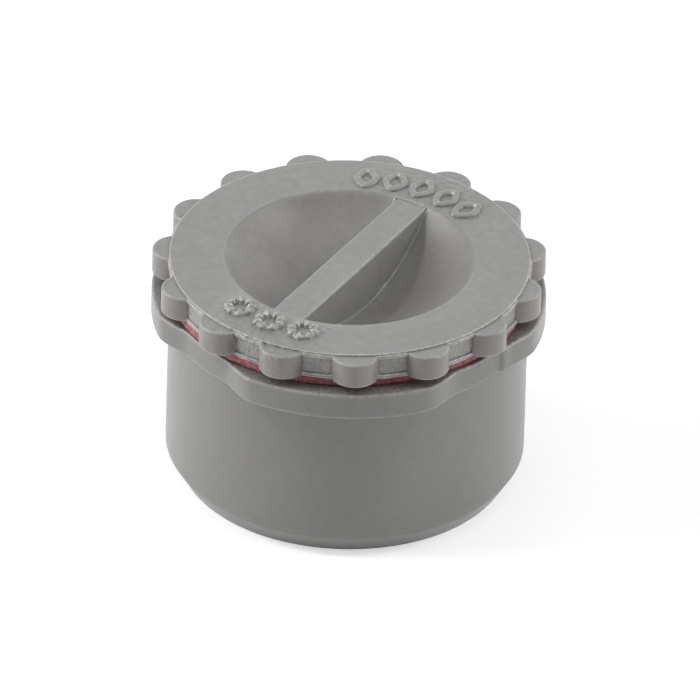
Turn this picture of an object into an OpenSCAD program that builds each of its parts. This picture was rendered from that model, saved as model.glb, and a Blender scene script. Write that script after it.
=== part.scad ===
// Screw-cap access plug for a plastic drain pipe. A pipe end with a lobed collar carries a
// coarse inside thread, a flat rubber seal lies on the collar, and a dished cap with finger
// lugs and a grip bar screws down onto the seal. Z is the axis, the open pipe end is at
// z = 0, and X runs along the grip bar.

/* [Pipe end] */
// Outside diameter of the pipe end
spigot_d = 82; // [76:0.5:90]
// Wall of the pipe end below the thread
spigot_wall = 4.4; // [3.8:0.1:6]
// Length of the pipe end below the collar
spigot_l = 40; // [34:0.5:60]
// Height of the lead-in taper at the open end
lead_h = 5.75; // [2:0.25:9]
// Flat land left at the tip of the lead-in taper
lead_land = 1; // [0.5:0.1:2]

/* [Collar] */
// Height of the collar
collar_h = 6.3; // [4:0.1:10]
// How far the lobes stand out from the pipe end
lobe_proud = 4; // [2.5:0.25:8]
// How far the recesses between the lobes stand out from the pipe end
recess_proud = 0.8; // [0.2:0.1:1.5]
// Number of recesses, and of lobes, around the collar
recess_count = 4; // [2:2:6]
// Width of each recess at its full depth
recess_w = 12.4; // [8:0.2:16]
// Length of the sweep that rises from a recess into a lobe
sweep_l = 11; // [6:0.1:12]
// Height of the creased step at one end of every other recess
step_proud = 1; // [0.4:0.1:1.6]
// Length of that step
step_l = 2; // [1:0.1:3]
// Rounding of the collar's upper edge
collar_edge = 0.6; // [0.3:0.05:1.2]
// Rounding of the collar's lower edge
collar_under_edge = 0.35; // [0.1:0.05:0.6]
// Angle from the grip bar to the first lobe
lobe_turn = 27.5; // [-45:0.1:45]
// Angle by which the recesses are drawn away from the first lobe and every other one after it
recess_shift = 3.6; // [0:0.1:6]

/* [Thread] */
// Rise of the thread in one turn
thread_pitch = 5; // [4.5:0.25:6]
// Height of the thread above the wall that carries it
thread_depth = 1.6; // [1:0.1:2.2]
// Slope of the thread's flanks
flank_angle = 15; // [5:1:20]
// Clearance between the cap's thread and the body's, crest to root
thread_gap = 0.4; // [0.3:0.05:0.6]
// Clearance between the two threads along the axis, on each side
flank_gap = 0.55; // [0.45:0.05:0.8]
// Bevel at the mouth of the inside thread
mouth_bevel = 1; // [0.5:0.1:1.5]

/* [Seal] */
// Thickness of the rubber seal
seal_t = 2.2; // [1.5:0.1:4]
// Width of the seal's flat ring
seal_w = 5; // [4.5:0.1:7]
// Clearance between the seal and the cap's neck
seal_gap = 0.3; // [0.2:0.05:0.5]
// Rounding of the seal's upper edge
seal_edge = 0.3; // [0.1:0.05:0.6]
// Rounding of the seal's lower edge
seal_under_edge = 1; // [0.1:0.05:1.2]

/* [Cap] */
// Height of the lugged rim
rim_h = 6; // [4.5:0.1:9]
// Step up from the rim to the cap's face
face_step = 0.4; // [0.2:0.05:1]
// Ledge between the face and the edge of the rim
face_ledge = 0.3; // [0.2:0.05:0.8]
// Rounding of the face's edge
face_edge = 0.2; // [0.1:0.05:0.2]
// Depth of the shallow panels between the lugs
panel_depth = 0.45; // [0.2:0.05:0.8]
// Height of the lip above the panels
upper_lip_h = 0.75; // [0.4:0.05:1.2]
// Height of the lip below the panels
lower_lip_h = 0.9; // [0.4:0.05:1.5]
// Length of the threaded skirt below the rim
skirt_l = 16.2; // [13:0.1:22]
// Wall of the threaded skirt
skirt_wall = 3; // [2.2:0.1:4]
// Bevel at the skirt's lower edge
skirt_bevel = 0.6; // [0.3:0.1:1.2]
// Thickness of the cap between the dish and the skirt
roof_t = 3; // [2.2:0.1:4]
// Free space left below the skirt when the cap is closed
end_gap = 1.3; // [0.8:0.1:3]

/* [Lugs] */
// Number of finger lugs
lug_count = 15; // [8:1:18]
// Diameter of each lug, which is a round post sunk into the rim
lug_d = 10.8; // [9:0.1:11.6]
// How far the lugs stand out from the rim
lug_proud = 3.6; // [3:0.1:5]
// Rounding of the lugs' upper edge
lug_edge = 0.5; // [0.2:0.05:1]
// Rounding of the lugs' lower edge
lug_under_edge = 0.25; // [0.1:0.05:0.5]
// Angle from the grip bar to the first lug
lug_turn = -3.8; // [-12:0.1:12]

/* [Dish and grip bar] */
// Width of the flat ring around the dish
face_w = 12.8; // [9:0.1:18]
// Depth of the dish
dish_depth = 12.6; // [9:0.1:15]
// Wall under the dish
dish_wall = 2.8; // [2:0.1:4]
// Bevel at the rim of the dish
dish_bevel = 0.35; // [0.1:0.05:0.4]
// Width of the grip bar
bar_w = 8.1; // [7:0.05:12]
// How far the bar lies below the cap's face
bar_drop = 0.5; // [0.4:0.05:3]
// Bevel along the bar's upper edges
bar_bevel = 0.35; // [0.1:0.05:0.8]
// Fillet between the bar's sides and the dish
bar_fillet = 0.6; // [0.3:0.1:1.5]
// Wall of the bar around its hollow core
bar_wall = 2.5; // [2:0.1:3]

/* [Hidden] */
$fn = 128;

pvc_grey = [0.6, 0.6, 0.59];
seal_red = [0.68, 0.3, 0.33];

// How far a cutter runs past the face that it cuts
over = 1;
// The same for a cutter that has little room
nick = 0.1;
// How far the fillet's round crosses the surface of the dish, instead of just touching it
blend = 0.02;
// How deep a thread ridge is rooted in its wall
ridge_root = 0.4;
// Steps in one turn of a thread, in its run-out, and in an edge of the collar
turn_steps = 48;
runout_steps = 6;
edge_steps = 3;
// Steps in half a lobe, in a sweep, in a creased step and in a recess at its full depth
lobe_steps = 7;
sweep_steps = 9;
crease_steps = 4;
recess_steps = 4;

// Radii, from the pipe end inwards to the thread and back out to the rim
spigot_r = spigot_d / 2;
bore_r = spigot_r - spigot_wall;
socket_r = bore_r + thread_depth;
neck_r = bore_r - thread_gap;
skirt_inner_r = neck_r - skirt_wall;
seal_inner_r = neck_r + seal_gap;
seal_r = seal_inner_r + seal_w;
face_r = seal_r - face_ledge;
panel_r = seal_r - panel_depth;
lug_r = seal_r + lug_proud;
recess_r = spigot_r + recess_proud;
lobe_r = spigot_r + lobe_proud;
dish_r = face_r - face_w;

// Heights, from the collar up
collar_top = spigot_l + collar_h;
rim_z = collar_top + seal_t;
lug_top = rim_z + rim_h;
cap_top = lug_top + face_step;
roof_z = cap_top - roof_t;
bar_top = cap_top - bar_drop;
skirt_z = rim_z - skirt_l;
socket_z = skirt_z - end_gap;

// The dish is part of a ball that passes through its rim
ball_r = (dish_r ^ 2 + dish_depth ^ 2) / (2 * dish_depth);
ball_z = cap_top - dish_depth + ball_r;

// The two threads share one ridge section and start at one height, half a turn apart
ridge_mid_w = thread_pitch / 2 - flank_gap;
crest_half = (ridge_mid_w - thread_depth * tan(flank_angle)) / 2;
foot_half = crest_half + (thread_depth + ridge_root) * tan(flank_angle);
thread_z = skirt_z + skirt_bevel + foot_half;
thread_turns = (collar_top - mouth_bevel - foot_half - thread_z) / thread_pitch;

// Angle between two lobes, and angles from the middle of a recess along its outline
lobe_pitch = 360 / recess_count;
recess_end = arc_angle(recess_w / 2, recess_r);
step_end = recess_end + arc_angle(step_l, recess_r);
sweep_angle = arc_angle(sweep_l, lobe_r);

function arc_angle(l, r) = l / r * 180 / PI;
function mix(a, b, t) = a + (b - a) * t;
function ease_both(t) = t * t * (3 - 2 * t);
function ease_out(t) = t * (2 - t);
function middle(ring) = [for (p = ring) 1] * ring / len(ring);

// An arc or a curve between two angles, as angles and radii, without its last point
function arc(a, b, r, n) = [for (i = [0 : n - 1]) [mix(a, b, i / n), r]];
function sweep(a, b, r1, r2) = [
    for (i = [0 : sweep_steps - 1])
        [mix(a, b, i / sweep_steps), mix(r1, r2, ease_both(i / sweep_steps))]
];
function crease(a, b, r1, r2) = [
    for (i = [0 : crease_steps - 1])
        [mix(a, b, i / crease_steps), mix(r1, r2, ease_out(i / crease_steps))]
];

// Angles and radii from the middle of one lobe, past a recess, to the middle of the next. Odd
// recesses end with the creased step, which rises fast and eases into the sweep after it.
function recess_outline(odd) =
    let (
        shift = odd ? -recess_shift : recess_shift,
        rise = odd ? step_end : recess_end,
        rise_r = odd ? recess_r + step_proud : recess_r
    )
    concat(
        arc(-lobe_pitch / 2 + shift, -recess_end - sweep_angle, lobe_r, lobe_steps),
        sweep(-recess_end - sweep_angle, -recess_end, lobe_r, recess_r),
        arc(-recess_end, recess_end, recess_r, recess_steps),
        odd ? crease(recess_end, step_end, recess_r, rise_r) : [],
        sweep(rise, rise + sweep_angle, rise_r, lobe_r),
        arc(rise + sweep_angle, lobe_pitch / 2 + shift, lobe_r, lobe_steps)
    );

// The collar's outline at one height, drawn in by an inset
function outline_ring(z, inset) = [
    for (i = [1 : recess_count])
        let (
            odd = i % 2 == 1,
            turn = lobe_turn + (i - 0.5) * lobe_pitch + (odd ? recess_shift : -recess_shift)
        )
        for (p = recess_outline(odd))
            [(p[1] - inset) * cos(turn + p[0]), (p[1] - inset) * sin(turn + p[0]), z]
];

// Closed skin through rings of points that run anticlockwise, seen from the last ring
module loft(rings) {
    m = len(rings[0]);
    last = len(rings) - 1;
    ends = len(rings) * m;
    points = concat([for (ring = rings) each ring], [middle(rings[0]), middle(rings[last])]);
    faces = [
        for (j = [0 : m - 1])
            let (k = (j + 1) % m)
            each concat(
                [[ends, j, k], [ends + 1, last * m + k, last * m + j]],
                [for (i = [0 : last - 1]) [i * m + j, (i + 1) * m + k, i * m + k]],
                [for (i = [0 : last - 1]) [i * m + j, (i + 1) * m + j, (i + 1) * m + k]]
            )
    ];
    polyhedron(points, faces);
}

// Sliver outside a quarter round, for a square corner at the origin with its body below left
module corner_cut(r) {
    difference() {
        translate([-r, -r]) square(r + nick);
        translate([-r, -r]) circle(r);
    }
}

// Ridge of a thread that climbs from z = 0, from a wall to a crest on either side of it.
// It rises out of the wall at its start and sinks back into it at its end.
module thread_ridge(wall_r, crest_r, turns) {
    side = sign(crest_r - wall_r);
    foot_r = wall_r - side * ridge_root;
    steps = ceil(turns * turn_steps);
    loft([
        for (i = [0 : steps])
            let (
                rise = min(1, (min(i, steps - i) + 0.5) / runout_steps),
                top_r = mix(foot_r, crest_r, rise),
                foot = [[foot_r, -foot_half], [foot_r, foot_half]],
                crest = [[top_r, crest_half], [top_r, -crest_half]],
                turn = i / steps * turns * 360,
                z = i / steps * turns * thread_pitch
            )
            [for (p = concat(foot, crest)) [p[0] * cos(turn), p[0] * sin(turn), z + side * p[1]]]
    ]);
}

// Collar with lobes and recesses: the outline carried up through its rounded edges
module collar() {
    loft(concat(
        [outline_ring(spigot_l, collar_under_edge), outline_ring(spigot_l + collar_under_edge, 0)],
        [
            for (i = [0 : edge_steps])
                let (a = i / edge_steps * 90)
                outline_ring(collar_top - collar_edge * (1 - sin(a)), collar_edge * (1 - cos(a)))
        ]
    ));
}

// Pipe end, collar and inside thread, moulded in one
module spigot_body() {
    color(pvc_grey) {
        difference() {
            union() {
                rotate_extrude() polygon([
                    [0, 0],
                    [bore_r + lead_land, 0],
                    [spigot_r, lead_h],
                    [spigot_r, spigot_l + collar_h / 2],
                    [0, spigot_l + collar_h / 2]
                ]);
                collar();
            }
            rotate_extrude() polygon([
                [0, -over],
                [bore_r, -over],
                [bore_r, socket_z - thread_depth],
                [socket_r, socket_z],
                [socket_r, collar_top - mouth_bevel],
                [socket_r + mouth_bevel + over, collar_top + over],
                [0, collar_top + over]
            ]);
        }
        rotate([0, 0, 180]) translate([0, 0, thread_z]) thread_ridge(socket_r, bore_r, thread_turns);
    }
}

// Flat rubber ring around the cap's neck
module sealing_ring() {
    color(seal_red) rotate_extrude() difference() {
        translate([seal_inner_r, collar_top]) square([seal_w, seal_t]);
        translate([seal_r, rim_z]) corner_cut(seal_edge);
        translate([seal_r, collar_top]) mirror([0, 1]) corner_cut(seal_under_edge);
    }
}

// One lug: a round post with both of its edges rounded
module lug() {
    post_r = lug_d / 2;
    translate([lug_r - post_r, 0, rim_z]) rotate_extrude() difference() {
        square([post_r, rim_h]);
        translate([post_r, rim_h]) corner_cut(lug_edge);
        translate([post_r, 0]) mirror([0, 1]) corner_cut(lug_under_edge);
    }
}

// Section of the cap without its dish: face, stepped rim, skirt, and the bowl that hangs inside
module cap_section() {
    difference() {
        polygon([
            [0, cap_top],
            [face_r, cap_top],
            [face_r, lug_top],
            [seal_r, lug_top],
            [seal_r, lug_top - upper_lip_h],
            [panel_r, lug_top - upper_lip_h],
            [panel_r, rim_z + lower_lip_h],
            [seal_r, rim_z + lower_lip_h],
            [seal_r, rim_z],
            [neck_r, rim_z],
            [neck_r, skirt_z + skirt_bevel],
            [neck_r - skirt_bevel, skirt_z],
            [skirt_inner_r, skirt_z],
            [skirt_inner_r, roof_z],
            [0, roof_z]
        ]);
        translate([face_r, cap_top]) corner_cut(face_edge);
    }
    intersection() {
        translate([0, skirt_z]) square([skirt_inner_r, roof_z + nick - skirt_z]);
        translate([0, ball_z]) circle(ball_r + dish_wall);
    }
}

// The space on one side of the grip bar. It is round about an axis through the ball's middle,
// square to the bar, so the fillet at the foot of the bar is turned with it.
module finger_space() {
    side = bar_w / 2;
    reach = ball_r - bar_fillet + blend;
    centre = [sqrt(reach ^ 2 - (side + bar_fillet) ^ 2), side + bar_fillet];
    touch = centre * (reach + bar_fillet) / reach;
    translate([0, 0, ball_z]) rotate([-90, 0, 0]) rotate_extrude() difference() {
        intersection() {
            circle(ball_r);
            translate([0, side]) square(ball_r);
        }
        difference() {
            polygon([
                [centre[0], side],
                [centre[0], side - nick],
                [touch[0] + over, side - nick],
                [touch[0] + over, touch[1]],
                touch
            ]);
            translate(centre) circle(bar_fillet);
        }
    }
}

// What is cut from above the grip bar, down to its bevelled top
module bar_clearance() {
    side = bar_w / 2;
    half = [
        [side - bar_bevel, bar_top],
        [side + nick, bar_top - bar_bevel - nick],
        [side + nick, bar_top],
        [side + bar_fillet, bar_top],
        [side + bar_fillet, cap_top + over]
    ];
    intersection() {
        translate([0, 0, bar_top - bar_bevel - over])
            cylinder(r = dish_r - dish_bevel, h = bar_drop + bar_bevel + 3 * over);
        rotate([90, 0, 90]) translate([0, 0, -dish_r]) linear_extrude(2 * dish_r)
            polygon(concat(half, [for (i = [len(half) - 1 : -1 : 0]) [-half[i][0], half[i][1]]]));
    }
}

// Bevel around the rim of the dish, at half the slope that the dish has there
module dish_rim_cut() {
    slope = asin(dish_r / ball_r);
    low = [dish_r - dish_bevel * cos(slope), cap_top - dish_bevel * sin(slope)];
    high = [dish_r + dish_bevel, cap_top];
    rotate_extrude() polygon([
        low - (high - low),
        high + (high - low),
        [low[0] - (high - low)[0], high[1] + (high - low)[1]]
    ]);
}

// Hollow inside the grip bar, open below
module bar_core() {
    width = bar_w - 2 * bar_wall;
    reach = dish_r - dish_wall;
    translate([-reach, -width / 2, skirt_z]) cube([2 * reach, width, bar_top - dish_wall - skirt_z]);
}

// Cap with its lugs, dish, grip bar and threaded skirt, moulded in one
module screw_cap() {
    color(pvc_grey) {
        difference() {
            rotate_extrude() cap_section();
            finger_space();
            rotate([0, 0, 180]) finger_space();
            bar_clearance();
            dish_rim_cut();
            bar_core();
        }
        for (i = [0 : lug_count - 1]) rotate([0, 0, lug_turn + i * 360 / lug_count]) lug();
        translate([0, 0, thread_z]) thread_ridge(neck_r, neck_r + thread_depth, thread_turns);
    }
}

spigot_body();
sealing_ring();
screw_cap();
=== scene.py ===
import math
import bpy
import numpy as np
from mathutils import Matrix, Vector


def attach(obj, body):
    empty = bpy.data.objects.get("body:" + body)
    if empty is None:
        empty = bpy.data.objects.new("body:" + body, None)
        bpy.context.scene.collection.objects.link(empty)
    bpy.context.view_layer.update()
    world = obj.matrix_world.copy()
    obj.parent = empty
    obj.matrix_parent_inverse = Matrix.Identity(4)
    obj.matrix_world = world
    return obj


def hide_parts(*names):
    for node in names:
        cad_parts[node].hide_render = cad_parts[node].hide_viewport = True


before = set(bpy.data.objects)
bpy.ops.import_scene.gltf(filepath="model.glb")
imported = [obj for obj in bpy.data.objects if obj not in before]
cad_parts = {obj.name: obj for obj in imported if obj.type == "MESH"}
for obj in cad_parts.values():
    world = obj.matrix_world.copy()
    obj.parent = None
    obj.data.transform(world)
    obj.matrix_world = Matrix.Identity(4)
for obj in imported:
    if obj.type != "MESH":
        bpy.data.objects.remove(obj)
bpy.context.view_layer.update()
scene = bpy.context.scene
print("frame loaded:", ", ".join(sorted(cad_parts)))

mm = 0.001


# Sizes taken from the frame
def nodePoints(name):
    # All corners of a CAD node, as an array of rows
    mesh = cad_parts[name].data
    flat = np.empty(len(mesh.vertices) * 3, np.float32)
    mesh.vertices.foreach_get("co", flat)
    return flat.reshape(-1, 3).astype(float)


capPoints, sealPoints = nodePoints("screw_cap"), nodePoints("sealing_ring")
capTop = capPoints[:, 2].max()
sealLow, sealHigh = sealPoints[:, 2].min(), sealPoints[:, 2].max()
sealReach = np.hypot(sealPoints[:, 0], sealPoints[:, 1])
sealInner, sealOuter = sealReach.min(), sealReach.max()


# Camera, as fitted to the photograph's outlines
cameraSet = {
    "distance": 4.862,  # far off, so the picture is nearly parallel
    "lens": 1095.8,
    "sensor": 36.0,
    "azimuth": -60.35,  # degrees, 0 looks along +Y
    "elevation": 32.866,
    "roll": 1.6634,  # degrees, the object's axis leans right
    "aimHeight": 27 * mm,
    "slide": (0.685 * mm, 2.229 * mm),  # right and up in the picture
    "clip": (0.1, 50.0),  # nearest and farthest that it shows
}


def placeCamera(values):
    # The camera looks at a point on the axis from a distance, then it is rolled about its
    # line of sight and slid sideways in its own picture plane.
    az, el = math.radians(values["azimuth"]), math.radians(values["elevation"])
    roll = math.radians(values["roll"])
    ahead = Vector((-math.sin(az) * math.cos(el), math.cos(az) * math.cos(el), -math.sin(el)))
    level = Vector((math.cos(az), math.sin(az), 0))
    lift = level.cross(ahead)
    right = level * math.cos(roll) + lift * math.sin(roll)
    up = lift * math.cos(roll) - level * math.sin(roll)
    slideX, slideY = values["slide"]
    aim = Vector((0, 0, values["aimHeight"]))
    place = aim - ahead * values["distance"] + right * slideX + up * slideY
    data = bpy.data.cameras.new("photoCamera")
    data.lens, data.sensor_width = values["lens"], values["sensor"]
    data.clip_start, data.clip_end = values["clip"]
    camera = bpy.data.objects.new("photoCamera", data)
    camera.matrix_world = Matrix((
        (right.x, up.x, -ahead.x, place.x),
        (right.y, up.y, -ahead.y, place.y),
        (right.z, up.z, -ahead.z, place.z),
        (0, 0, 0, 1),
    ))
    scene.collection.objects.link(camera)
    scene.camera = camera


placeCamera(cameraSet)
print("camera placed")


# Small helpers for node trees and meshes
def newMaterial(name):
    # A material with an empty node tree, and that tree
    made = bpy.data.materials.new(name)
    made.use_nodes = True
    made.node_tree.nodes.clear()
    return made, made.node_tree


def addNode(tree, kind, inputs=None, **settings):
    # One node with its settings, and its inputs given by name or number as values or sockets
    node = tree.nodes.new(kind)
    for key, value in settings.items():
        setattr(node, key, value)
    for key, value in (inputs or {}).items():
        socket = node.inputs[key]
        if isinstance(value, bpy.types.NodeSocket):
            tree.links.new(value, socket)
        else:
            socket.default_value = value
    return node


def noise(tree, place, grade):
    # A noise that is about 0.5 on average, with its scale, detail and roughness
    scale, detail, roughness = grade
    return addNode(tree, "ShaderNodeTexNoise", {
        "Vector": place, "Scale": scale, "Detail": detail, "Roughness": roughness}).outputs["Fac"]


def ranged(tree, value, low, high, toLow, toHigh):
    # What lies from low to high is stretched in a line from toLow to toHigh, and held there
    return addNode(tree, "ShaderNodeMapRange", {
        "Value": value, "From Min": low, "From Max": high,
        "To Min": toLow, "To Max": toHigh}).outputs["Result"]


def maths(tree, operation, *values):
    # One operation on numbers or sockets
    return addNode(tree, "ShaderNodeMath", dict(enumerate(values)), operation=operation).outputs[0]


def times(tree, first, second):
    return maths(tree, "MULTIPLY", first, second)


def plus(tree, first, second):
    return maths(tree, "ADD", first, second)


def mixed(tree, share, first, second):
    # A mix of two colours, each a colour or a socket
    node = addNode(tree, "ShaderNodeMix", {0: share}, data_type="RGBA")
    for socket, value in ((node.inputs[6], first), (node.inputs[7], second)):
        if isinstance(value, bpy.types.NodeSocket):
            tree.links.new(value, socket)
        else:
            socket.default_value = (*value, 1)
    return node.outputs[2]


def scaled(tree, colour, share):
    # A colour made brighter or darker by a share
    return addNode(tree, "ShaderNodeVectorMath", {0: colour, "Scale": share},
                   operation="SCALE").outputs["Vector"]


def newPiece(name, points, faces, body, slot, material):
    # Smooth piece in world coordinates, which rides on a body
    mesh = bpy.data.meshes.new(name)
    mesh.from_pydata(points.tolist(), [], faces.tolist())
    mesh.polygons.foreach_set("use_smooth", np.ones(len(faces), bool))
    mesh.materials.append(material)
    piece = bpy.data.objects.new(name, mesh)
    scene.collection.objects.link(piece)
    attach(piece, body)
    return piece


def closedGrid(rows, columns):
    # Faces of a grid that closes on itself both ways, with rows and columns counted from 0
    i, j = np.meshgrid(np.arange(rows), np.arange(columns), indexing="ij")
    nextI, nextJ = (i + 1) % rows, (j + 1) % columns
    corners = [i * columns + j, nextI * columns + j, nextI * columns + nextJ, i * columns + nextJ]
    return np.stack([c.ravel() for c in corners], 1)


# Grey moulded plastic
noiseEnds = (0.3, 0.7)  # nearly all of a noise lies between these
raySet = {"round": 4, "edge": 6, "corner": 4}  # rays that a material sends out for each of them
plasticSet = {
    "colour": (0.300, 0.295, 0.287),
    "mottle": 0.035,  # share by which the grey comes and goes
    "mottleNoise": (55.0, 4.0, 0.6),  # scale, detail and roughness, as for every noise
    "cloud": 0.03,  # the same share for finer clouds
    "cloudNoise": (420.0, 3.0, 0.6),
    "roughness": 0.34,
    "roughnessSwing": 0.08,
    "gloss": 0.45,
    "ior": 1.5,
    "grain": 0.07 * mm,  # height of the fine skin
    "grainNoise": (2200.0, 2.0, 0.55),
    "ripple": 0.05 * mm,  # height of the slow waves of the moulding
    "rippleNoise": (140.0, 2.0, 0.5),
    "edgeRound": 0.2 * mm,
    "edgeReach": 0.4 * mm,  # how far in from an outer edge the highlight is painted
    "edgeOpen": (0.97, 0.78),  # share of rays that stay inside: where the painted highlight starts, and is full
    "glintShare": 1.0,  # how far the painted highlight goes towards its colour
    # the colour of the highlight painted on outer edges
    "glint": (0.78, 0.77, 0.75),
    "polish": 0.18,  # how much smoother the edges under the painted highlight are
    "spotNoise": (1100.0, 2.0, 0.6),  # breaks up the painted edge highlight and the painted shade along the seal
    "spotEnds": (0.4, 0.6),  # where in that noise the painted highlight is least, and where it is full
    "spotLeast": 0.4,
    "crevice": 0.8 * mm,  # how far the painted shade reaches out of a corner
    "creviceOpen": (0.35, 0.95),  # share of rays that get away: where the painted shade is full, and ends
    "cornerShade": 0.55,  # how far a corner's painted shade goes towards its brownish colour
    "cornerShadeColour": (0.115, 0.092, 0.084),
    "seed": 0.0,
}


def greyPlastic(name, values, panels=None, stirred=None, dishShade=None, handled=None, sealShade=None):
    # Object coordinates feed slow and fine noise for mottling, waves and skin. An outer edge is
    # where short rays into the solid come out again, and there a pale highlight is painted. An
    # inner corner is where short rays outwards hit, and there it is painted darker, as shade. The
    # recessed panels, found by their distance from the axis, have a coarse sparked texture and are
    # painted lighter. Stirred places, found by their distance from a few points, are uneven. Shade
    # is painted in the dish, on both sides of the bar, and the lugs' sides are brownish from hands.
    # Shade is painted on a ring at one height, which noise breaks up as it fades outwards.
    made, tree = newMaterial(name)
    coord = addNode(tree, "ShaderNodeTexCoord")
    shift = addNode(tree, "ShaderNodeMapping", {
        "Vector": coord.outputs["Object"], "Location": (values["seed"],) * 3})
    place = shift.outputs["Vector"]
    mottle = noise(tree, place, values["mottleNoise"])
    cloud = noise(tree, place, values["cloudNoise"])
    fine = noise(tree, place, values["grainNoise"])
    wave = noise(tree, place, values["rippleNoise"])
    spots = noise(tree, place, values["spotNoise"])

    slow = ranged(tree, mottle, *noiseEnds, 1 - values["mottle"], 1 + values["mottle"])
    quick = ranged(tree, cloud, *noiseEnds, 1 - values["cloud"], 1 + values["cloud"])
    bright = times(tree, slow, quick)
    apart = addNode(tree, "ShaderNodeSeparateXYZ", {0: coord.outputs["Object"]})
    level = apart.outputs["Z"]
    reach = maths(tree, "SQRT", plus(tree, maths(tree, "POWER", apart.outputs["X"], 2.0),
                                     maths(tree, "POWER", apart.outputs["Y"], 2.0)))
    height = times(tree, fine, values["grain"])
    if stirred:
        uneven = noise(tree, place, stirred["noise"])
        close = 0.0
        for point, depth in stirred["places"]:
            away = addNode(tree, "ShaderNodeVectorMath", {0: coord.outputs["Object"], 1: point},
                           operation="DISTANCE").outputs["Value"]
            close = plus(tree, close, ranged(tree, away, stirred["near"], stirred["far"], depth, 0.0))
        inner = stirred["inner"]
        close = times(tree, close, ranged(tree, reach, inner, inner + stirred["fade"], 0.0, 1.0))
        height = plus(tree, height, times(tree, close, uneven))
    # The recessed panels are painted lighter, and pitted
    if panels:
        panel = times(tree, maths(tree, "COMPARE", reach, panels["reach"], panels["band"]),
                      maths(tree, "COMPARE", level, panels["middle"], panels["half"]))
        pits = noise(tree, place, panels["noise"])
        pitted = ranged(tree, pits, *noiseEnds, panels["paler"] - panels["contrast"],
                        panels["paler"] + panels["contrast"])
        bright = times(tree, bright, maths(tree, "POWER", pitted, panel))
        sparked = times(tree, times(tree, panel, pits), panels["depth"])
        height = plus(tree, height, sparked)

    edge = addNode(tree, "ShaderNodeBevel", {"Radius": values["edgeRound"]}, samples=raySet["round"])
    deep = addNode(tree, "ShaderNodeAmbientOcclusion", {"Distance": values["edgeReach"]},
                   samples=raySet["edge"], inside=True, only_local=True)
    # A pale highlight painted along outer edges, broken up by noise
    turned = ranged(tree, deep.outputs["AO"], *values["edgeOpen"], 0.0, values["glintShare"])
    paintedGlint = times(tree, turned, ranged(tree, spots, *values["spotEnds"], values["spotLeast"], 1.0))
    # Shade painted into inner corners, darker and brownish
    sky = addNode(tree, "ShaderNodeAmbientOcclusion", {"Distance": values["crevice"]},
                  samples=raySet["corner"])
    unshaded = scaled(tree, values["colour"], bright)
    share = ranged(tree, sky.outputs["AO"], *values["creviceOpen"], values["cornerShade"], 0.0)
    # Shade painted in the dish, on both sides of the bar
    if dishShade:
        aside = ranged(tree, maths(tree, "ABSOLUTE", apart.outputs["Y"]),
                       dishShade["near"], dishShade["far"], 0.0, dishShade["share"])
        sunk = times(tree, maths(tree, "LESS_THAN", reach, dishShade["reach"]),
                     maths(tree, "LESS_THAN", level, dishShade["level"]))
        share = plus(tree, share, times(tree, aside, sunk))
    if handled:
        beyond = times(tree, maths(tree, "GREATER_THAN", reach, handled["reach"]),
                       maths(tree, "LESS_THAN", level, handled["level"]))
        unshaded = mixed(tree, times(tree, beyond, handled["share"]), unshaded, handled["colour"])
    cornerShaded = mixed(tree, share, unshaded, values["cornerShadeColour"])
    colour = mixed(tree, paintedGlint, cornerShaded, values["glint"])
    # Shade painted on the collar's face along the seal, broken up by noise as it fades outwards
    if sealShade:
        near = maths(tree, "SUBTRACT", ranged(tree, reach, sealShade["from"], sealShade["to"], 1.0, 0.0),
                     ranged(tree, spots, *noiseEnds, 0.0, sealShade["broken"]))
        mask = times(tree, ranged(tree, near, 0.0, sealShade["fade"], 0.0, sealShade["strength"]),
                     maths(tree, "COMPARE", level, sealShade["level"], sealShade["band"]))
        colour = mixed(tree, mask, colour, sealShade["colour"])

    # Edges under the painted highlight are also a little smoother
    glint = times(tree, paintedGlint, values["polish"])
    swing = values["roughnessSwing"] / 2
    rough = maths(tree, "SUBTRACT", ranged(tree, mottle, *noiseEnds, values["roughness"] - swing,
                                           values["roughness"] + swing), glint)
    waves = addNode(tree, "ShaderNodeBump", {
        "Height": wave, "Distance": values["ripple"], "Normal": edge.outputs["Normal"]})
    skin = addNode(tree, "ShaderNodeBump", {  # its height is in metres already
        "Height": height, "Distance": 1.0, "Normal": waves.outputs["Normal"]})
    shader = addNode(tree, "ShaderNodeBsdfPrincipled", {
        "Base Color": colour, "Roughness": rough, "Normal": skin.outputs["Normal"],
        "IOR": values["ior"], "Specular IOR Level": values["gloss"]})
    addNode(tree, "ShaderNodeOutputMaterial", {"Surface": shader.outputs["BSDF"]})
    return made


panelSet = {  # the recessed panels between the lugs
    "reach": sealOuter - 0.45 * mm,  # their distance from the axis
    "band": 0.2 * mm,  # either side of it
    "middle": sealHigh + 3.07 * mm,  # the height of their middle
    "half": 2.17 * mm,  # above and below it
    "noise": (1500.0, 3.0, 0.7),
    # how much lighter the panels are painted
    "paler": 1.27,
    "contrast": 0.3,
    "depth": 0.2 * mm,
}
stirSet = {  # the face round the two rows of raised marks
    "places": (  # where, and how deep
        ((-33.5 * mm, 0, capTop), 0.9 * mm),
        ((33.0 * mm, 0, capTop), 0.35 * mm),
    ),
    "near": 10 * mm,  # full up to here from such a place
    "far": 16 * mm,  # and gone from here
    "inner": 28.8 * mm,  # nothing is stirred nearer the axis than this
    "fade": 1 * mm,
    "noise": (560.0, 2.0, 0.5),
}
dishSet = {  # the dish, beside the bar, where shade is painted
    "reach": 29 * mm,  # nearer the axis than this
    "level": capTop - 0.1 * mm,  # and lower than this
    "near": 5 * mm,  # the grime starts this far from the bar's middle
    "far": 8 * mm,  # and is full from here
    "share": 0.17,
}
lugSet = {  # the sides of the lugs
    "reach": sealOuter + 0.1 * mm,  # farther out than this
    "level": sealHigh + 5.4 * mm,  # and lower than this
    "share": 0.4,
    "colour": (0.325, 0.287, 0.264),
}
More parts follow.
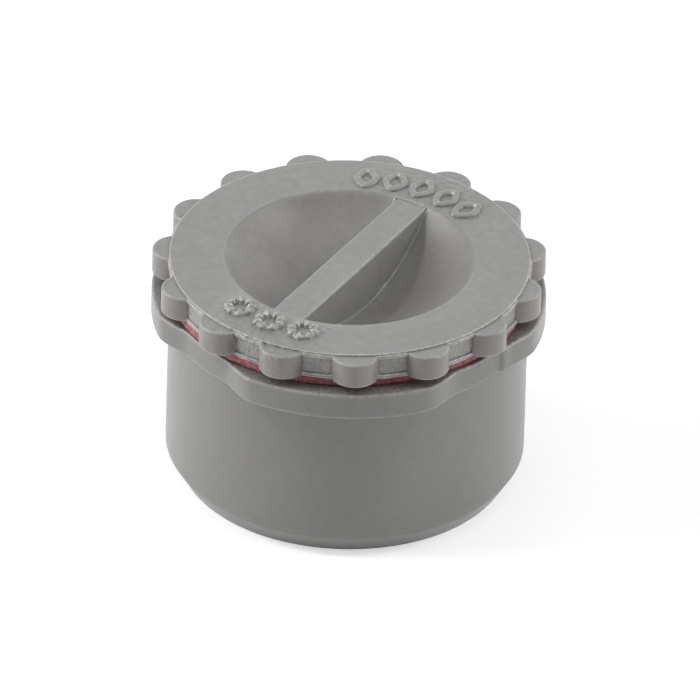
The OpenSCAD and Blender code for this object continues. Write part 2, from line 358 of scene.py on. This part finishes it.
sealShadeSet = {  # shade painted on the collar along the seal
    "from": sealOuter - 0.5 * mm,  # full here, and gone farther out
    "to": sealOuter + 4.2 * mm,
    "level": sealLow,  # the height of the collar's face
    "band": 0.2 * mm,  # either side of it
    "broken": 0.75,  # how much of it noise takes away
    "fade": 0.4,  # lower has harder borders
    "strength": 0.5,
    "colour": (0.09, 0.055, 0.05),
}
# The body's grey is painted a little darker than the cap's, as shade
bodyPlastic = greyPlastic("bodyPlastic", {
    **plasticSet, "colour": (0.274, 0.269, 0.261), "edgeReach": 0.7 * mm,
    "edgeOpen": (0.9, 0.7)}, sealShade=sealShadeSet)
capPlastic = greyPlastic("capPlastic", {
    **plasticSet, "seed": 3.7, "mottle": 0.06, "cloud": 0.07, "edgeReach": 0.45 * mm,
    "edgeOpen": (0.95, 0.74), "crevice": 1.2 * mm},
    panels=panelSet, stirred=stirSet, dishShade=dishSet, handled=lugSet)
# Raised marks get a paler painted highlight on their edges and darker painted shade in their pits
markPlastic = greyPlastic("markPlastic", {
    **plasticSet, "seed": 5.1, "roughness": 0.2, "ripple": 0.5 * mm,
    "rippleNoise": (900.0, 2.0, 0.5), "gloss": 0.7, "glint": (0.9, 0.88, 0.86),
    "edgeReach": 0.5 * mm, "crevice": 1.1 * mm, "cornerShade": 0.7})


# Red rubber of the seal
rubberSet = {
    "colour": (0.36, 0.10, 0.115),
    "dust": (0.50, 0.25, 0.26),
    "dustEnds": (0.45, 0.65),  # where in the noise of the pores dust starts, and where it is full
    "roughness": 0.8,
    "grain": 0.16 * mm,
    "poreNoise": (2000.0, 3.0, 0.5),
    # shade painted close to neighbouring parts: how far it reaches, where it is full and ends, and
    # how dark
    "crevice": 1.2 * mm,
    "creviceOpen": (0.3, 0.9),
    "cornerShade": 0.35,
}


def redRubber(name, values):
    # Dull red, paler where noise marks dust in its pores, with shade painted darker close to its
    # neighbours
    made, tree = newMaterial(name)
    coord = addNode(tree, "ShaderNodeTexCoord")
    pores = noise(tree, coord.outputs["Object"], values["poreNoise"])
    dusty = ranged(tree, pores, *values["dustEnds"], 0.0, 1.0)
    red = mixed(tree, dusty, values["colour"], values["dust"])
    # Shade painted darker close to neighbouring parts
    sky = addNode(tree, "ShaderNodeAmbientOcclusion", {"Distance": values["crevice"]},
                  samples=raySet["corner"])
    shade = ranged(tree, sky.outputs["AO"], *values["creviceOpen"], 1 - values["cornerShade"], 1.0)
    colour = scaled(tree, red, shade)
    bump = addNode(tree, "ShaderNodeBump", {"Height": pores, "Distance": values["grain"]})
    shader = addNode(tree, "ShaderNodeBsdfPrincipled", {
        "Base Color": colour, "Roughness": values["roughness"], "Normal": bump.outputs["Normal"]})
    addNode(tree, "ShaderNodeOutputMaterial", {"Surface": shader.outputs["BSDF"]})
    return made


sealRubber = redRubber("sealRubber", rubberSet)
print("materials made")


# The CAD nodes' finish: smooth faces, crisp edges
finishSet = {
    "crispAngle": 40.0,  # degrees, past which an edge stays sharp
    "mergeDistance": 0.002 * mm,
    "evenWeight": 60,  # 50 is neutral, and above it larger faces count for more
}


def smoothGroup(values):
    # Merges the loose triangles, shades every face smooth and keeps edges sharp past an angle
    group = bpy.data.node_groups.new("smoothSkin", "GeometryNodeTree")
    group.interface.new_socket("Geometry", in_out="INPUT", socket_type="NodeSocketGeometry")
    group.interface.new_socket("Geometry", in_out="OUTPUT", socket_type="NodeSocketGeometry")
    source = addNode(group, "NodeGroupInput")
    merged = addNode(group, "GeometryNodeMergeByDistance", {
        "Geometry": source.outputs[0], "Distance": values["mergeDistance"]})
    faces = addNode(group, "GeometryNodeSetShadeSmooth", {
        "Geometry": merged.outputs[0], "Shade Smooth": True})
    angle = addNode(group, "GeometryNodeInputMeshEdgeAngle").outputs["Unsigned Angle"]
    crisp = maths(group, "GREATER_THAN", angle, math.radians(values["crispAngle"]))
    edges = addNode(group, "GeometryNodeSetShadeSmooth", {
        "Geometry": faces.outputs[0], "Selection": crisp, "Shade Smooth": False}, domain="EDGE")
    addNode(group, "NodeGroupOutput", {0: edges.outputs[0]})
    return group


def finishNode(node, group, material, values):
    # The smooth skin, then shading that leans towards the larger faces at each corner
    skin = node.modifiers.new("smoothSkin", "NODES")
    skin.node_group = group
    even = node.modifiers.new("evenNormals", "WEIGHTED_NORMAL")
    even.keep_sharp = True
    even.weight = values["evenWeight"]
    node.data.materials.clear()
    node.data.materials.append(material)


skinGroup = smoothGroup(finishSet)
finishNode(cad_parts["spigot_body"], skinGroup, bodyPlastic, finishSet)
finishNode(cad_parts["screw_cap"], skinGroup, capPlastic, finishSet)
print("CAD nodes finished")


# The seal, a flat rubber ring with a rough outer edge
sealSet = {
    "around": 900,
    "across": 40,
    "square": 7.0,  # higher is squarer
    "bulge": 0.12 * mm,  # how far the clamped rubber swells outwards
    "rough": 0.1 * mm,
    "slowWave": 0.08 * mm,
    "waves": (3, 7, 12, 23),  # how many of each slow wave go round
    "waveShift": 6,  # radians, the most that a wave is shifted by
    "hollows": (  # where the outer edge lies back: angle, spread and depth
        (240.0, 36.0, 0.75 * mm),
        (288.0, 15.0, 0.7 * mm),
    ),
    "seed": 5,
}


def rounded(wave, power):
    # A sine or cosine, raised to a power with its sign kept
    return np.sign(wave) * np.abs(wave) ** power


def sealRing(values):
    # A superellipse section goes once around the axis. Its reach swells a little at half
    # height and is roughened by seeded noise, more at the outer edge than inside, and it
    # falls back by bell curves of the angle where the clamped ring sits in.
    turn = np.linspace(0, 2 * np.pi, values["around"], endpoint=False)[:, None]
    lap = np.linspace(0, 2 * np.pi, values["across"], endpoint=False)[None, :]
    out, up = (rounded(wave, 2 / values["square"]) for wave in (np.cos(lap), np.sin(lap)))
    draws = np.random.default_rng(values["seed"])
    grit = draws.normal(size=(values["around"], values["across"]))
    grit = (grit + np.roll(grit, 1, 0) + np.roll(grit, 1, 1)) / 3
    slow = sum(np.sin(k * turn + draws.uniform(0, values["waveShift"])) for k in values["waves"])
    slow = slow / len(values["waves"])
    outer = np.clip(out, 0, 1) ** 2
    middle, half = (sealOuter + sealInner) / 2, (sealOuter - sealInner) / 2
    reach = middle + out * half + outer * (values["bulge"] * (1 - up ** 2) - values["rough"])
    reach = reach + outer * (values["rough"] * grit + values["slowWave"] * (slow - 1))
    for angle, spread, depth in values["hollows"]:
        away = (np.degrees(turn) - angle) / spread
        reach = reach - outer * depth * np.exp(-away ** 2)
    height = (sealLow + sealHigh) / 2 + up * (sealHigh - sealLow) / 2
    points = np.stack([reach * np.cos(turn), reach * np.sin(turn), height + 0 * turn], -1)
    return points.reshape(-1, 3), closedGrid(values["around"], values["across"])


seal = newPiece("sealRing", *sealRing(sealSet), "seal", "seal_rubber", sealRubber)
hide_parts("sealing_ring")
print("seal built")


# Raised marks on the cap: plain ornaments
markSet = {  # height of a raised line, half its width, and where the row stands on the face
    "lozenges": {"height": 0.8 * mm, "stroke": 0.85 * mm, "reach": 33.4 * mm,
                 "angles": (24, 12.5, 1, -10.5, -22), "size": (3.2 * mm, 2.25 * mm)},
    "rosettes": {"height": 1.05 * mm, "stroke": 0.98 * mm, "reach": 33.5 * mm,
                 "angles": (162.5, 177.5, 192), "size": (2.65 * mm, 2.7 * mm)},
    "dome": 0.7,  # lower is fuller, and 1 is half round
    "sunk": 0.1 * mm,
    "sunkBelow": -0.1,  # sine of the section's angle, below which it lies in the face
    "along": 160,
    "across": 16,
    "corner": 1.5,  # how pointed a lozenge is: 1 is an oval, 2 is straight-sided
    "beads": 8,  # swellings round a rosette
    "beadSwell": 0.28,
    "beadMiddle": 0.3,  # share of the swell by which the whole ring is thinner
}


def raisedLoop(line, swell, row, values):
    # A closed line in the plane, given as complex numbers, carries a domed section: it
    # spreads along the line's normal and rises to the mark's height, both times the swell at
    # that point of the line, with a flat sunk foot.
    ahead = np.roll(line, -1) - np.roll(line, 1)
    normal = -1j * ahead / np.abs(ahead)
    lap = np.linspace(0, 2 * np.pi, values["across"], endpoint=False)[None, :]
    spread = np.cos(lap) * row["stroke"] * swell[:, None]
    dome = np.abs(np.sin(lap)) ** values["dome"]
    rise = np.where(np.sin(lap) > 0, dome * row["height"], 0) * swell[:, None]
    rise = rise - values["sunk"] * (np.sin(lap) < values["sunkBelow"])
    flat = line[:, None] + normal[:, None] * spread
    points = np.stack([flat.real, flat.imag, capTop + rise], -1).reshape(-1, 3)
    return points, closedGrid(len(line), values["across"])


def markRow(row, outline, swell, values):
    # One closed outline of unit size, sized and set on the cap's face at each angle of its row
    local = row["reach"] + outline.real * row["size"][0] + 1j * outline.imag * row["size"][1]
    return [raisedLoop(local * np.exp(1j * math.radians(angle)), swell, row, values)
            for angle in row["angles"]]


def markRows(values):
    # Lozenges have corners rounded by a power of sine and cosine. Rosettes are rings that
    # swell and shrink like a string of beads.
    t = np.linspace(0, 2 * np.pi, values["along"], endpoint=False)
    lozenge = rounded(np.cos(t), values["corner"]) + 1j * rounded(np.sin(t), values["corner"])
    beaded = 1 + values["beadSwell"] * (np.cos(values["beads"] * t) - values["beadMiddle"])
    return (markRow(values["lozenges"], lozenge, 1 + 0 * t, values),
            markRow(values["rosettes"], np.exp(1j * t), beaded, values))


def joinParts(parts):
    # Several sets of points and faces as one, with the faces' numbers shifted
    shifts = np.cumsum([0] + [len(points) for points, _ in parts[:-1]])
    faces = [faces + shift for (_, faces), shift in zip(parts, shifts)]
    return np.concatenate([points for points, _ in parts]), np.concatenate(faces)


backRow, frontRow = markRows(markSet)
newPiece("backMarks", *joinParts(backRow), "cap", "cap_plastic", capPlastic)
newPiece("frontMarks", *joinParts(frontRow), "cap", "cap_plastic", markPlastic)
print("raised marks built")


# Floor and light
stageSet = {
    "floorSize": 6.0,
    "floorColour": (0.93, 0.93, 0.93),
    "floorRoughness": 0.9,
    "floorGloss": 0.1,
    "floorShown": 0.46,  # added for the camera alone, so that the floor shows white
    "floorInside": 37 * mm,  # not added nearer the axis than this, down in the open pipe
    "worldLevel": 0.0,  # light that the white world casts
    "lampAim": 30 * mm,  # height on the axis that every lamp looks at
}
lampSet = {  # place is in the camera's own turn: x to its right, y away from it, z up
    "topLamp": {"place": (0.0, 0.0, 1.7), "size": 1.4, "power": 8.3},
    "frontLamp": {"place": (0.3, -1.6, 0.9), "size": 0.8, "power": 2.0},
    "leftLamp": {"place": (-1.7, 0.1, 0.6), "size": 1.1, "power": 18.4},
    "rightLamp": {"place": (1.7, 0.0, 0.6), "size": 1.1, "power": 11.9},
    "rightBackLamp": {"place": (1.3, 1.1, 0.6), "size": 1.1, "power": 3.0},
    "backLamp": {"place": (0.0, 1.8, 0.5), "size": 1.0, "power": 2.0},
    "topLeftLamp": {"place": (-1.2, 0.0, 1.3), "size": 0.32, "power": 7.0},
    "topRightLamp": {"place": (1.2, 0.0, 1.3), "size": 0.32, "power": 4.1},
}


def shownRays(tree):
    # 1 where the camera looks, directly or in a mirror or glass, and 0 for light that is cast
    path = addNode(tree, "ShaderNodeLightPath").outputs
    direct = maths(tree, "MAXIMUM", path["Is Camera Ray"], path["Is Glossy Ray"])
    return maths(tree, "MAXIMUM", direct, path["Is Transmission Ray"])


def buildFloor(values):
    # A level square, drawn from its four corners
    half = values["floorSize"] / 2
    corners = np.array([[-1, -1, 0], [1, -1, 0], [1, 1, 0], [-1, 1, 0]], float) * [half, half, 1]
    mesh = bpy.data.meshes.new("floor")
    mesh.from_pydata(corners.tolist(), [], [(0, 1, 2, 3)])
    floor = bpy.data.objects.new("floor", mesh)
    scene.collection.objects.link(floor)
    made, tree = newMaterial("paleFloor")
    coord = addNode(tree, "ShaderNodeTexCoord")
    reach = addNode(tree, "ShaderNodeVectorMath", {0: coord.outputs["Object"]}, operation="LENGTH")
    outside = maths(tree, "GREATER_THAN", reach.outputs["Value"], values["floorInside"])
    shown = times(tree, times(tree, shownRays(tree), outside), values["floorShown"])
    shader = addNode(tree, "ShaderNodeBsdfPrincipled", {
        "Base Color": (*values["floorColour"], 1), "Roughness": values["floorRoughness"],
        "Specular IOR Level": values["floorGloss"],
        "Emission Color": (1, 1, 1, 1), "Emission Strength": shown})
    addNode(tree, "ShaderNodeOutputMaterial", {"Surface": shader.outputs["BSDF"]})
    mesh.materials.append(made)


def addLamps(lamps, azimuth, aimHeight):
    # Square lamps, turned about the axis with the camera, that look at one height on it
    turn = Matrix.Rotation(math.radians(azimuth), 4, "Z")
    for name, values in lamps.items():
        data = bpy.data.lights.new(name, "AREA")
        data.shape = "SQUARE"
        data.size = values["size"]
        data.energy = values["power"]
        lamp = bpy.data.objects.new(name, data)
        place = turn @ Vector(values["place"])
        aim = Vector((0, 0, aimHeight)) - place
        facing = aim.to_track_quat("-Z", "Y").to_matrix().to_4x4()
        lamp.matrix_world = Matrix.Translation(place) @ facing
        scene.collection.objects.link(lamp)


def buildWorld(level):
    # White where the camera looks, and as bright as the level for light that is cast
    world = bpy.data.worlds.new("studio")
    world.use_nodes = True
    tree = world.node_tree
    tree.nodes.clear()
    strength = ranged(tree, shownRays(tree), 0.0, 1.0, level, 1.0)
    back = addNode(tree, "ShaderNodeBackground", {"Color": (1, 1, 1, 1), "Strength": strength})
    addNode(tree, "ShaderNodeOutputWorld", {"Surface": back.outputs["Background"]})
    scene.world = world


buildFloor(stageSet)
addLamps(lampSet, cameraSet["azimuth"], stageSet["lampAim"])
buildWorld(stageSet["worldLevel"])
scene.view_settings.view_transform = "Standard"
print("floor, lamps and world placed")
